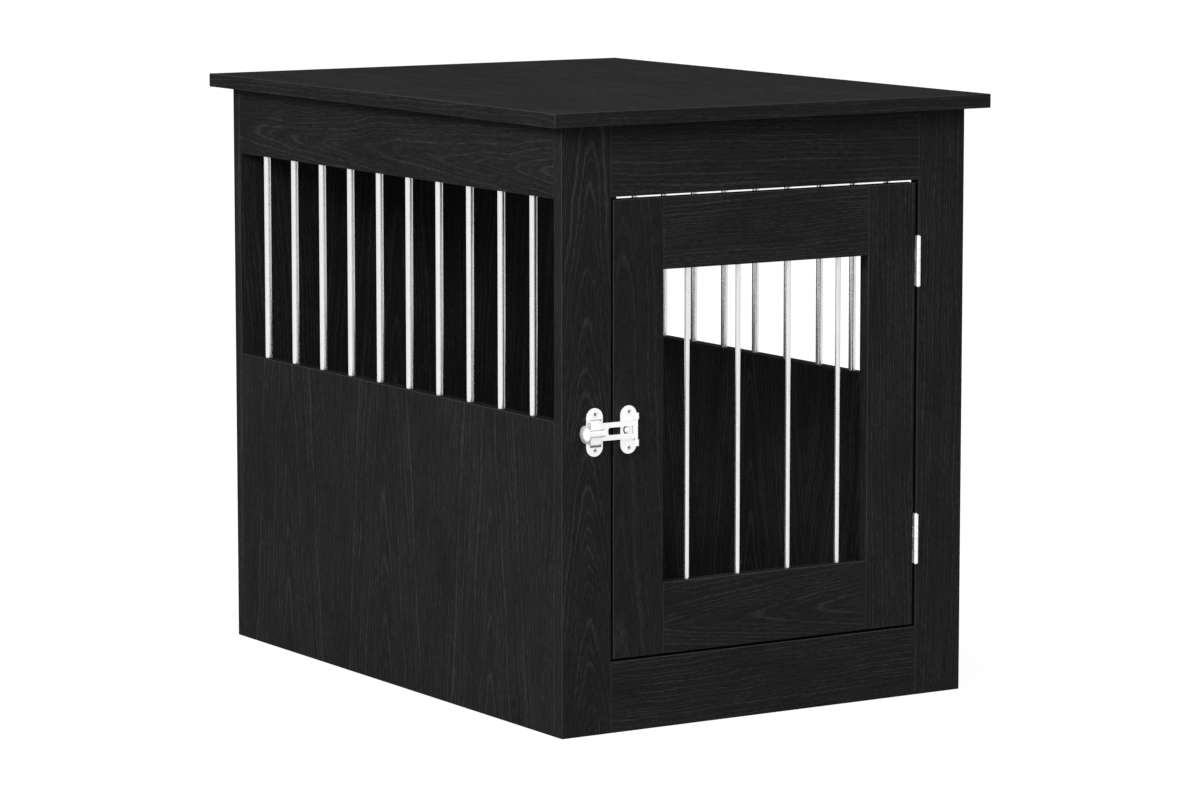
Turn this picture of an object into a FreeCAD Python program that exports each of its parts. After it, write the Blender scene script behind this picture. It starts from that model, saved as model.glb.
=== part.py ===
import FreeCAD, Part
import math
import os
import re

import Sketcher

# Dog crate end table. Millimetres, +Z up, +X to the right along the front, the front faces -Y.
# The origin is on the floor, under the middle of the tabletop.

doc = FreeCAD.newDocument("crate_end_table")
sheet = doc.addObject("Spreadsheet::Sheet", "Dims")

sizes = {
    # carcass
    "top_width": 550,
    "top_depth": 750,
    "overall_height": 650,
    "board": 15,
    "overhang": 20,
    "edge_bevel": 0.6,
    "stile_width": 60,
    "rail_height": 75,
    "sill_height": 330,
    "floor_lift": 20,
    # bars
    "side_bar_diameter": 8,
    "side_bar_edge": 52,
    "side_bar_count": 10,
    "door_bar_diameter": 5.5,
    "door_bar_edge": 34,
    "door_bar_count": 4,
    "bar_seat": 10,
    "seat_clearance": 0.1,
    # door
    "latch_gap": 3,
    "hinge_gap": 4,
    "head_gap": 3,
    "sill_gap": 3,
    "door_stile_width": 61.5,
    "door_rail_height": 75,
    # dowels and cam fittings
    "dowel_diameter": 8,
    "dowel_length": 30,
    "cam_diameter": 15,
    "cam_depth": 12.5,
    "cam_setback": 34,
    "cam_edge": 60,
    "cam_spread": 400,
    "bolt_shank_diameter": 5,
    "bolt_thread_diameter": 7,
    "bolt_thread_length": 11,
    "bolt_end": 3,
    # butt hinges
    "hinge_height": 54,
    "knuckle_count": 4,
    "barrel_diameter": 5.5,
    "hinge_pin_diameter": 2.6,
    "hinge_pin_rise": 0.8,
    "leaf_thickness": 1.2,
    "leaf_reach": 13,
    "leaf_relief": 0.45,
    "barrel_proud": 2.6,
    "knuckle_play": 0.2,
    "running_clearance": 0.05,
    "upper_hinge_height": 473,
    "lower_hinge_height": 172,
    "hinge_screw_spacing": 34,
    "hinge_screw_set": 7.2,
    "screw_shank_diameter": 3,
    "screw_length": 12,
    "csk_diameter": 5,
    "csk_depth": 1,
    # latch plates and their screws
    "latch_height": 318,
    "plate_width": 20,
    "plate_length": 50.6,
    "plate_thickness": 1.2,
    "keeper_set": 20.6,
    "hinge_plate_set": 17.9,
    "plate_screw_spacing": 37.6,
    "pan_diameter": 7,
    "pan_height": 0.8,
    "stud_diameter": 7,
    "stud_height": 2.8,
    "stud_offset": 2,
    "plate_round": 0.4,
    # latch knuckles and pin
    "latch_barrel_diameter": 5.2,
    "latch_axis_set": 1.5,
    "latch_barrel_length": 6.8,
    "latch_barrel_gap": 21,
    "latch_barrel_relief": 0.5,
    "latch_pin_diameter": 2,
    "arm_barrel_diameter": 3,
    "arm_play": 0.3,
    # flip arm
    "strap_height": 18.6,
    "strap_thickness": 1.6,
    "strap_clearance": 0.4,
    "slot_height": 7.7,
    "slot_end_set": 3.8,
    "slot_length": 31,
    "slot_round": 2.5,
    "head_offset": 1.2,
    "head_width": 13.6,
    "head_length": 26,
    "head_depth": 5,
    "head_wall": 2.3,
    "head_round": 2.2,
    # keeper post
    "post_thickness": 2.5,
    "post_width": 4.4,
    "post_height": 9.6,
    "post_round": 0.8,
    # plunger, spring and knob
    "plunger_height": 9.5,
    "plunger_diameter": 3,
    "plunger_clearance": 0.06,
    "nose_clearance": 0.7,
    "collar_diameter": 5.5,
    "collar_length": 1.8,
    "collar_gap": 0.3,
    "barrel_reach": 14.7,
    "barrel_width": 8.4,
    "barrel_bore": 6.2,
    "barrel_end": 1,
    "bulkhead_set": 3.4,
    "bulkhead": 1.4,
    "wire_diameter": 0.6,
    "spring_diameter": 5.2,
    "spring_turns": 3,
    "spring_gap": 0.05,
    "knob_diameter": 18.3,
    "knob_length": 5.8,
    "knob_gap": 0.6,
    "knob_round": 1,
    "knob_crown": 3,
    "knob_seat": 3.5,
}
for row, (alias, value) in enumerate(sizes.items(), start=1):
    sheet.set("A%d" % row, alias)
    sheet.set("B%d" % row, str(value))
    sheet.setAlias("B%d" % row, alias)
doc.recompute()

# Lengths worked out from the sheet, as expressions in its names.
half_width = "(top_width / 2 - overhang)"
half_depth = "(top_depth / 2 - overhang)"
carcass_height = "(overall_height - board)"
side_length = "(2 * %s - 2 * board)" % half_depth
face = "(-%s)" % half_depth
opening_left = "(stile_width - %s)" % half_width
opening_right = "(%s - stile_width)" % half_width
opening_top = "(%s - rail_height)" % carcass_height
door_left = "(%s + latch_gap)" % opening_left
door_right = "(%s - hinge_gap)" % opening_right
door_low = "(rail_height + sill_gap)"
door_high = "(%s - head_gap)" % opening_top
door_height = "(%s - %s)" % (door_high, door_low)
window_low = "(%s + door_rail_height)" % door_low
window_high = "(%s - door_rail_height)" % door_high
window_width = "(%s - %s - 2 * door_stile_width)" % (door_right, door_left)

turns = {
    "+Z": FreeCAD.Rotation(),
    "-Z": FreeCAD.Rotation(FreeCAD.Vector(1, 0, 0), 180),
    "+X": FreeCAD.Rotation(FreeCAD.Vector(0, 1, 0), 90),
    "-X": FreeCAD.Rotation(FreeCAD.Vector(0, 1, 0), -90),
    "+Y": FreeCAD.Rotation(FreeCAD.Vector(1, 0, 0), -90),
    "-Y": FreeCAD.Rotation(FreeCAD.Vector(1, 0, 0), 90),
}
nodes = {}


def size(alias):
    return float(sheet.get(alias))


def bind(item, field, text):
    """Ties a property to the sheet: every name in the text is one of its aliases."""
    item.setExpression(field, re.sub(r"\b([a-z][a-z_]*)\b(?!\()", r"Dims.\1", str(text)))


def opposite(way):
    return {"+": "-", "-": "+"}[way[0]] + way[1]


def step(spot, way, length):
    """The spot moved along the way by a length given as an expression."""
    axis = "XYZ".index(way[1])
    moved = list(spot)
    moved[axis] = "%s %s (%s)" % (spot[axis], way[0], length)
    return tuple(moved)


def place(item, spot, turn=None):
    if turn is not None:
        item.Placement = FreeCAD.Placement(FreeCAD.Vector(), turn)
    for axis, text in zip("xyz", spot):
        bind(item, "Placement.Base." + axis, text)
    return item


def keep(node, item):
    item.Label = node
    nodes[node] = item
    return item


def block(name, spans, spot):
    item = doc.addObject("Part::Box", name)
    for field, text in zip(("Length", "Width", "Height"), spans):
        bind(item, field, text)
    return place(item, spot)


def rod(name, diameter, length, spot, way):
    """A cylinder that starts at the spot and runs along the way."""
    item = doc.addObject("Part::Cylinder", name)
    bind(item, "Radius", "(%s) / 2" % diameter)
    bind(item, "Height", length)
    return place(item, spot, turns[way])


def cone(name, start, end, length, spot, way):
    item = doc.addObject("Part::Cone", name)
    bind(item, "Radius1", "(%s) / 2" % start)
    bind(item, "Radius2", "(%s) / 2" % end)
    bind(item, "Height", length)
    return place(item, spot, turns[way])


def dome(name, diameter, height, spot, way):
    """A ball's cap that stands on the spot with its crown along the way."""
    item = doc.addObject("Part::Sphere", name)
    ball = "((%s) ^ 2 / 4 + (%s) ^ 2) / (2 * (%s))" % (diameter, height, height)
    bind(item, "Radius", ball)
    bind(item, "Angle1", "asin(1 - (%s) / (%s))" % (height, ball))
    return place(item, step(spot, opposite(way), "%s - (%s)" % (ball, height)), turns[way])


def fuse(name, items):
    item = doc.addObject("Part::MultiFuse", name)
    item.Shapes = items
    item.Refine = True
    return item


def cut(name, base, tools):
    item = doc.addObject("Part::Cut", name)
    item.Base = base
    item.Tool = tools[0] if len(tools) == 1 else fuse(name + "_tool", tools)
    item.Refine = True
    return item


def group(name, items):
    item = doc.addObject("Part::Compound", name)
    item.Links = items
    return item


def origin_plane(body, role):
    return next(p for p in body.Origin.OriginFeatures if p.Role == role)


def new_sketch(body, name, role="XY_Plane"):
    sketch = body.newObject("Sketcher::SketchObject", name)
    sketch.AttachmentSupport = [(origin_plane(body, role), "")]
    sketch.MapMode = "FlatFace"
    return sketch


def rectangle(sketch, width, length):
    """A rectangle with one corner on the sketch's origin."""
    corners = [FreeCAD.Vector(*xy, 0) for xy in ((0, 0), (30, 0), (30, 40), (0, 40))]
    for i in range(4):
        sketch.addGeometry(Part.LineSegment(corners[i], corners[(i + 1) % 4]), False)
    for i in range(4):
        sketch.addConstraint(Sketcher.Constraint("Coincident", i, 2, (i + 1) % 4, 1))
        sketch.addConstraint(Sketcher.Constraint(("Horizontal", "Vertical")[i % 2], i))
    sketch.addConstraint(Sketcher.Constraint("Coincident", 0, 1, -1, 1))
    for constraint, text in (
        (Sketcher.Constraint("DistanceX", 0, 1, 0, 2, 30.0), width),
        (Sketcher.Constraint("DistanceY", 1, 1, 1, 2, 40.0), length),
    ):
        mark = sketch.addConstraint(constraint)
        bind(sketch, "Constraints[%d]" % mark, text)


def circle_at(sketch, diameter, across, along):
    ring = sketch.addGeometry(Part.Circle(FreeCAD.Vector(5, 5, 0), FreeCAD.Vector(0, 0, 1), 2), False)
    for constraint, text in (
        (Sketcher.Constraint("DistanceX", -1, 1, ring, 3, 5.0), across),
        (Sketcher.Constraint("DistanceY", -1, 1, ring, 3, 5.0), along),
        (Sketcher.Constraint("Diameter", ring, 4.0), diameter),
    ):
        mark = sketch.addConstraint(constraint)
        bind(sketch, "Constraints[%d]" % mark, text)


def obround(sketch, width, length):
    """An upright slot outline round the sketch's origin."""
    middle = FreeCAD.Vector(0, 0, 1)
    top = sketch.addGeometry(Part.ArcOfCircle(Part.Circle(FreeCAD.Vector(0, 12, 0), middle, 8), 0, math.pi))
    left = sketch.addGeometry(Part.LineSegment(FreeCAD.Vector(-8, 12, 0), FreeCAD.Vector(-8, -12, 0)))
    foot = sketch.addGeometry(
        Part.ArcOfCircle(Part.Circle(FreeCAD.Vector(0, -12, 0), middle, 8), math.pi, 2 * math.pi))
    right = sketch.addGeometry(Part.LineSegment(FreeCAD.Vector(8, -12, 0), FreeCAD.Vector(8, 12, 0)))
    for one, other in ((top, left), (left, foot), (foot, right), (right, top)):
        sketch.addConstraint(Sketcher.Constraint("Tangent", one, 2, other, 1))
    sketch.addConstraint(Sketcher.Constraint("PointOnObject", top, 3, -2))
    sketch.addConstraint(Sketcher.Constraint("Symmetric", top, 3, foot, 3, -1, 1))
    sketch.addConstraint(Sketcher.Constraint("Equal", top, foot))
    for constraint, text in (
        (Sketcher.Constraint("Radius", top, 8.0), "(%s) / 2" % width),
        (Sketcher.Constraint("DistanceY", -1, 1, top, 3, 12.0), "(%s) / 2 - (%s) / 2" % (length, width)),
    ):
        mark = sketch.addConstraint(constraint)
        bind(sketch, "Constraints[%d]" % mark, text)


def pad(body, sketch, length):
    item = body.newObject("PartDesign::Pad", body.Name + "_pad")
    item.Profile = sketch
    bind(item, "Length", length)
    body.Tip = item
    sketch.Visibility = False
    return item


def ease(body, blank, kind, amount):
    """Takes the sharpness off every true edge of the blank, leaving out the seams of round ones."""
    doc.recompute()
    item = body.newObject("PartDesign::" + kind, body.Name + "_arris")
    item.Base = (blank, ["Edge%d" % (i + 1) for i, edge in enumerate(blank.Shape.Edges)
                         if len(blank.Shape.ancestorsOfType(edge, Part.Face)) == 2])
    bind(item, {"Fillet": "Radius", "Chamfer": "Size"}[kind], amount)
    body.Tip = item


def eased_disc(name, diameter, length, radius, spot, way):
    body = doc.addObject("PartDesign::Body", name)
    sketch = new_sketch(body, name + "_outline")
    circle_at(sketch, diameter, "0", "0")
    ease(body, pad(body, sketch, length), "Fillet", radius)
    return place(body, spot, turns[way])


def eased_block(name, spans, spot, kind, amount):
    """A padded rectangle with every arris eased."""
    body = doc.addObject("PartDesign::Body", name)
    sketch = new_sketch(body, name + "_outline")
    rectangle(sketch, spans[0], spans[1])
    ease(body, pad(body, sketch, spans[2]), kind, amount)
    return place(body, spot)


def bar_holes(body, name, across, first, level, run, bar_diameter, pitch, count, into_top):
    """A row of blind holes for bars, in the board's top or bottom edge. run is the row's own axis."""
    sketch = new_sketch(body, name + "_first_hole")
    bind(sketch, "AttachmentOffset.Base.z", level)
    spot = (across, first) if run == "V_Axis" else (first, across)
    circle_at(sketch, "%s + 2 * seat_clearance" % bar_diameter, *spot)
    hole = body.newObject("PartDesign::Pocket", name + "_hole")
    hole.Profile = sketch
    hole.Reversed = not into_top
    bind(hole, "Length", "bar_seat")
    body.Tip = hole
    doc.recompute()
    row = body.newObject("PartDesign::LinearPattern", name + "_row")
    row.Originals = [hole]
    row.Direction = (sketch, [run])
    bind(row, "Length", "%s * (%s - 1)" % (pitch, count))
    bind(row, "Occurrences", count)
    body.Tip = row
    sketch.Visibility = False
    doc.recompute()


# Fittings. A cam joint is a cam in one board, drawn tight on a bolt that is driven into the next one.
cams = []
bolts = []
dowels = {"cabinet": [], "door": []}
bores = {}


def bore(board_node, item):
    bores.setdefault(board_node, []).append(item)


def cam_joint(host, target, joint_spot, way, cam_way):
    """joint_spot is where the bolt crosses the joint. way runs from the cam to the target board, and
    cam_way from the host board's middle to the face that the cam is let into."""
    back = opposite(way)
    inward = opposite(cam_way)
    number = len(cams) + 1
    centre = step(joint_spot, back, "cam_setback")
    face_spot = step(centre, cam_way, "board / 2")
    drum = rod("cam_drum_%d" % number, "cam_diameter", "cam_depth", face_spot, inward)
    mouth = rod("cam_mouth_%d" % number, "bolt_shank_diameter + 2 * seat_clearance",
                "cam_diameter / 2 + bolt_end", step(centre, way, "cam_diameter / 2"), back)
    cams.append(cut("cam_%d" % number, drum, [mouth]))
    thread = rod("bolt_thread_%d" % number, "bolt_thread_diameter", "bolt_thread_length", joint_spot, way)
    shank = rod("bolt_shank_%d" % number, "bolt_shank_diameter", "cam_setback + bolt_end", joint_spot, back)
    bolts.append(fuse("bolt_%d" % number, [thread, shank]))
    bore(host, rod("cam_bore_%d" % number, "cam_diameter + 2 * seat_clearance",
                   "cam_depth + seat_clearance", face_spot, inward))
    bore(host, rod("bolt_way_%d" % number, "bolt_thread_diameter + 2 * seat_clearance",
                   "cam_setback", joint_spot, back))
    bore(target, rod("bolt_seat_%d" % number, "bolt_thread_diameter + 2 * seat_clearance",
                     "bolt_thread_length + seat_clearance", joint_spot, way))


def dowel_joint(owner, first, second, joint_spot, way):
    """A dowel half in each board, along the way from the first to the second."""
    back = opposite(way)
    number = len(dowels["cabinet"]) + len(dowels["door"]) + 1
    start = step(joint_spot, back, "dowel_length / 2")
    dowels[owner].append(rod("dowel_%d" % number, "dowel_diameter", "dowel_length", start, way))
    for board_node, to in ((first, back), (second, way)):
        bore(board_node, rod("dowel_bore_%d_%s" % (number, board_node), "dowel_diameter + 2 * seat_clearance",
                             "dowel_length / 2 + seat_clearance", joint_spot, to))


# Carcass boards: node, spans along X, Y and Z, and the low corner.
boards = {
    "top_panel": (("top_width", "top_depth", "board"),
                  ("-top_width / 2", "-top_depth / 2", carcass_height)),
    "bottom_panel": (("2 * %s - 2 * board" % half_width, side_length, "board"),
                     ("board - %s" % half_width, "%s + board" % face, "floor_lift")),
    "back_panel": (("2 * %s" % half_width, "board", carcass_height),
                   ("-%s" % half_width, "%s - board" % half_depth, "0")),
    "left_lower_panel": (("board", side_length, "sill_height"),
                         ("-%s" % half_width, "%s + board" % face, "0")),
    "right_lower_panel": (("board", side_length, "sill_height"),
                          ("%s - board" % half_width, "%s + board" % face, "0")),
    "left_upper_rail": (("board", side_length, "rail_height"),
                        ("-%s" % half_width, "%s + board" % face, opening_top)),
    "right_upper_rail": (("board", side_length, "rail_height"),
                         ("%s - board" % half_width, "%s + board" % face, opening_top)),
    "front_left_stile": (("stile_width", "board", carcass_height), ("-%s" % half_width, face, "0")),
    "front_right_stile": (("stile_width", "board", carcass_height), (opening_right, face, "0")),
    "front_top_rail": (("%s - %s" % (opening_right, opening_left), "board", "rail_height"),
                       (opening_left, face, opening_top)),
    "front_bottom_rail": (("%s - %s" % (opening_right, opening_left), "board", "rail_height"),
                          (opening_left, face, "0")),
    "door_left_stile": (("door_stile_width", "board", door_height), (door_left, face, door_low)),
    "door_right_stile": (("door_stile_width", "board", door_height),
                         ("%s - door_stile_width" % door_right, face, door_low)),
    "door_top_rail": ((window_width, "board", "door_rail_height"),
                      ("%s + door_stile_width" % door_left, face, window_high)),
    "door_bottom_rail": ((window_width, "board", "door_rail_height"),
                         ("%s + door_stile_width" % door_left, face, door_low)),
}
blanks = {node: eased_block(node + "_blank", spans, spot, "Chamfer", "edge_bevel")
          for node, (spans, spot) in boards.items()}

# Bars: a row down each side, and four in the door, seated at both ends.
side_count = int(size("side_bar_count"))
door_count = int(size("door_bar_count"))
side_bar_pitch = "((%s - 2 * side_bar_edge) / (side_bar_count - 1))" % side_length
door_bar_pitch = "((%s - 2 * door_bar_edge) / (door_bar_count - 1))" % window_width
for side, x in (("left", "board / 2 - %s" % half_width), ("right", "%s - board / 2" % half_width)):
    row = ("side_bar_diameter", side_bar_pitch, "side_bar_count")
    bar_holes(blanks[side + "_lower_panel"], side + "_sill", "board / 2", "side_bar_edge", "sill_height",
              "V_Axis", *row, into_top=True)
    bar_holes(blanks[side + "_upper_rail"], side + "_rail", "board / 2", "side_bar_edge", "0",
              "V_Axis", *row, into_top=False)
    for i in range(side_count):
        y = "%s + board + side_bar_edge + %s * %d" % (face, side_bar_pitch, i)
        node = "%s_bar_%02d" % (side, i + 1)
        keep(node, rod(node, "side_bar_diameter", "%s - sill_height + 2 * bar_seat" % opening_top,
                       (x, y, "sill_height - bar_seat"), "+Z"))
door_row = ("door_bar_diameter", door_bar_pitch, "door_bar_count")
bar_holes(blanks["door_bottom_rail"], "door_sill", "board / 2", "door_bar_edge", "door_rail_height",
          "H_Axis", *door_row, into_top=True)
bar_holes(blanks["door_top_rail"], "door_head", "board / 2", "door_bar_edge", "0",
          "H_Axis", *door_row, into_top=False)
for i in range(door_count):
    x = "%s + door_stile_width + door_bar_edge + %s * %d" % (door_left, door_bar_pitch, i)
    node = "door_bar_%d" % (i + 1)
    keep(node, rod(node, "door_bar_diameter", "%s - %s + 2 * bar_seat" % (window_high, window_low),
                   (x, "%s + board / 2" % face, "%s - bar_seat" % window_low), "+Z"))

# Dowels: two at each corner of the front frame and of the door.
mid_front = "%s + board / 2" % face
for owner, prefix, left_x, right_x, low_z, high_z, height in (
    ("cabinet", "front", opening_left, opening_right, "0", opening_top, "rail_height"),
    ("door", "door", "%s + door_stile_width" % door_left, "%s - door_stile_width" % door_right,
     door_low, window_high, "door_rail_height"),
):
    for rail, z in (("bottom_rail", low_z), ("top_rail", high_z)):
        for share in (1, 3):
            level = "%s + %s * %d / 4" % (z, height, share)
            dowel_joint(owner, "%s_%s" % (prefix, rail), prefix + "_left_stile",
                        (left_x, mid_front, level), "-X")
            dowel_joint(owner, "%s_%s" % (prefix, rail), prefix + "_right_stile",
                        (right_x, mid_front, level), "+X")

# Cam joints: each side board to the front stile and the back, the floor to the sides, the rails to the top.
front_joint = "%s + board" % face
back_joint = "%s - board" % half_depth
for side, x, inner in (("left", "board / 2 - %s" % half_width, "+X"),
                       ("right", "%s - board / 2" % half_width, "-X")):
    for board_node, level in (
        (side + "_lower_panel", "cam_edge"),
        (side + "_lower_panel", "sill_height - cam_edge"),
        (side + "_upper_rail", "%s + rail_height / 2" % opening_top),
    ):
        cam_joint(board_node, "front_%s_stile" % side, (x, front_joint, level), "-Y", inner)
        cam_joint(board_node, "back_panel", (x, back_joint, level), "+Y", inner)
    inner_face = "%s %s board / 2" % (x, inner[0])
    for y in ("-cam_spread / 2", "cam_spread / 2"):
        cam_joint("bottom_panel", side + "_lower_panel", (inner_face, y, "floor_lift + board / 2"),
                  opposite(inner), "-Z")
        cam_joint(side + "_upper_rail", "top_panel", (x, y, carcass_height), "+Z", inner)

# Butt hinges. The axis stands in front of the gap, halfway across it. One leaf is screwed to the edge of
# the front stile and the other to the edge of the door, and their knuckles take turns along the pin.
hinge_x = "(%s - hinge_gap / 2)" % opening_right
hinge_y = "(%s - barrel_proud)" % face
knuckle = "(hinge_height / knuckle_count)"


def countersunk_screw(name, spot, way):
    """A screw whose head is flush at the spot, and the way it needs through the leaf and into the board."""
    under_head = step(spot, way, "csk_depth")
    screw = fuse(name, [
        cone(name + "_head", "csk_diameter", "screw_shank_diameter", "csk_depth", spot, way),
        rod(name + "_shank", "screw_shank_diameter", "screw_length - csk_depth", under_head, way),
    ])
    sink = cone(name + "_sink", "csk_diameter + 2 * seat_clearance",
                "screw_shank_diameter + 2 * seat_clearance", "csk_depth", spot, way)
    return screw, sink, screw_bore(name, spot, way)


def screw_bore(name, spot, way):
    return rod(name + "_bore", "screw_shank_diameter + 2 * seat_clearance", "screw_length + seat_clearance",
               spot, way)


def hinge_leaf(node, board_node, foot, turn_from, plate_x, exposed_x, way, screws):
    """A leaf with every second knuckle, from the one numbered turn_from up. way runs into the board."""
    parts = [block(node + "_plate", ("leaf_thickness", "leaf_reach", "hinge_height"),
                   (plate_x, "%s + leaf_relief" % face, foot))]
    for i in range(turn_from, int(size("knuckle_count")), 2):
        low = "%s + %s * %d + knuckle_play / 2" % (foot, knuckle, i)
        length = "%s - knuckle_play" % knuckle
        parts.append(rod("%s_knuckle_%d" % (node, i), "barrel_diameter", length,
                         (hinge_x, hinge_y, low), "+Z"))
        parts.append(block("%s_web_%d" % (node, i), ("leaf_thickness", "barrel_proud + leaf_relief", length),
                           (plate_x, hinge_y, low)))
    ways = [rod(node + "_eye", "hinge_pin_diameter + 2 * running_clearance", "hinge_height",
                (hinge_x, hinge_y, foot), "+Z")]
    for i, side in enumerate("-+"):
        level = "%s + hinge_height / 2 %s hinge_screw_spacing / 2" % (foot, side)
        spot = (exposed_x, "%s + hinge_screw_set" % face, level)
        screw, sink, hole = countersunk_screw("%s_screw_%d" % (node, i + 1), spot, way)
        screws.append(screw)
        ways += [sink, hole]
        bore(board_node, screw_bore("%s_pilot_%d" % (node, i + 1), spot, way))
    return cut(node, fuse(node + "_blank", parts), ways)


frame_screws = []
door_screws = []
for which in ("upper", "lower"):
    foot = "(%s_hinge_height - hinge_height / 2)" % which
    node = which + "_hinge_frame_leaf"
    keep(node, hinge_leaf(node, "front_right_stile", foot, 0, "%s - leaf_thickness" % opening_right,
                          "%s - leaf_thickness" % opening_right, "+X", frame_screws))
    node = which + "_hinge_door_leaf"
    keep(node, hinge_leaf(node, "door_right_stile", foot, 1, door_right,
                          "%s + leaf_thickness" % door_right, "-X", door_screws))
    node = which + "_hinge_pin"
    keep(node, rod(node, "hinge_pin_diameter", "hinge_height + 2 * hinge_pin_rise",
                   (hinge_x, hinge_y, "%s - hinge_pin_rise" % foot), "+Z"))
keep("hinge_frame_screws", group("frame_screws", frame_screws))
keep("hinge_door_screws", group("door_screws", door_screws))

# Latch. The keeper, with its post, is on the front stile. The hinge plate, with two knuckles and a stud, is
# on the door. A slotted arm joins them and swings on the plate's pin. Its hollow head lies over the keeper,
# and the barrel across the head holds a sprung plunger, whose nose stops beside the post.
keeper_x = "(%s - keeper_set)" % opening_left
plate_x = "(%s + hinge_plate_set)" % door_left
axis_x = "(%s + plate_width / 2 - latch_axis_set)" % plate_x
plate_front = "(%s - plate_thickness)" % face
axis_y = "(%s - latch_barrel_diameter / 2 - latch_barrel_relief)" % face
head_left = "(%s - head_offset - head_width / 2)" % keeper_x
head_right = "(%s - head_offset + head_width / 2)" % keeper_x
arm_back = "(%s - strap_clearance)" % plate_front
plunger_y = "(%s - plunger_height)" % face
barrel_left = "(%s - barrel_reach)" % keeper_x
bulkhead_right = "(%s - bulkhead_set)" % keeper_x
bulkhead_left = "(%s - bulkhead)" % bulkhead_right
screw_levels = ["latch_height %s plate_screw_spacing / 2" % side for side in "-+"]


def plate_blank(name, x):
    """An upright round-ended plate whose front rim is rolled over."""
    body = doc.addObject("PartDesign::Body", name)
    sketch = new_sketch(body, name + "_outline", "XZ_Plane")
    obround(sketch, "plate_width", "plate_length")
    blank = pad(body, sketch, "plate_thickness")
    doc.recompute()
    front = min(blank.Shape.Faces, key=lambda side: side.CenterOfMass.y)
    roll = body.newObject("PartDesign::Fillet", name + "_rim")
    roll.Base = (blank, ["Edge%d" % (i + 1) for i, edge in enumerate(blank.Shape.Edges)
                         if any(edge.isSame(rim) for rim in front.Edges)])
    bind(roll, "Radius", "plate_round")
    body.Tip = roll
    return place(body, (x, face, "latch_height"))


def pan_screws(name, board_node, x):
    """Two domed screws, and the ways they need through the plate."""
    screws = []
    ways = []
    for i, level in enumerate(screw_levels):
        label = "%s_%d" % (name, i + 1)
        spot = (x, plate_front, level)
        screws.append(fuse(label, [
            dome(label + "_head", "pan_diameter", "pan_height", spot, "-Y"),
            rod(label + "_shank", "screw_shank_diameter", "screw_length", spot, "+Y"),
        ]))
        ways.append(screw_bore(label + "_way", spot, "+Y"))
        bore(board_node, screw_bore(label + "_pilot", spot, "+Y"))
    keep(name, group(name, screws))
    return ways


post = eased_block("keeper_post", ("post_thickness", "post_height + plate_thickness", "post_width"),
                   ("%s - post_thickness / 2" % keeper_x, "%s - post_height" % plate_front,
                    "latch_height - post_width / 2"), "Fillet", "post_round")
keeper_blank = fuse("keeper_blank", [plate_blank("keeper_face", keeper_x), post])
keeper_ways = pan_screws("keeper_screws", "front_left_stile", keeper_x)
keep("keeper_plate", cut("keeper_plate", keeper_blank, keeper_ways))

knuckles = [
    rod("latch_knuckle_%d" % i, "latch_barrel_diameter", "latch_barrel_length", (axis_x, axis_y, low), "+Z")
    for i, low in enumerate(("latch_height - latch_barrel_gap / 2 - latch_barrel_length",
                             "latch_height + latch_barrel_gap / 2"))
]
stud = dome("latch_stud", "stud_diameter", "stud_height",
            ("%s - stud_offset" % plate_x, plate_front, "latch_height"), "-Y")
eye_span = ("latch_pin_diameter + 2 * running_clearance", "plate_length",
            (axis_x, axis_y, "latch_height - plate_length / 2"), "+Z")
latch_blank = fuse("latch_blank", [plate_blank("latch_face", plate_x), stud] + knuckles)
latch_plate_ways = pan_screws("latch_plate_screws", "door_left_stile", plate_x)
keep("latch_plate", cut("latch_plate", latch_blank, [rod("latch_eye", *eye_span)] + latch_plate_ways))
keep("latch_pin", rod("latch_pin", "latch_pin_diameter", "latch_barrel_gap + 2 * latch_barrel_length",
                      (axis_x, axis_y, "latch_height - latch_barrel_gap / 2 - latch_barrel_length"), "+Z"))

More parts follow.
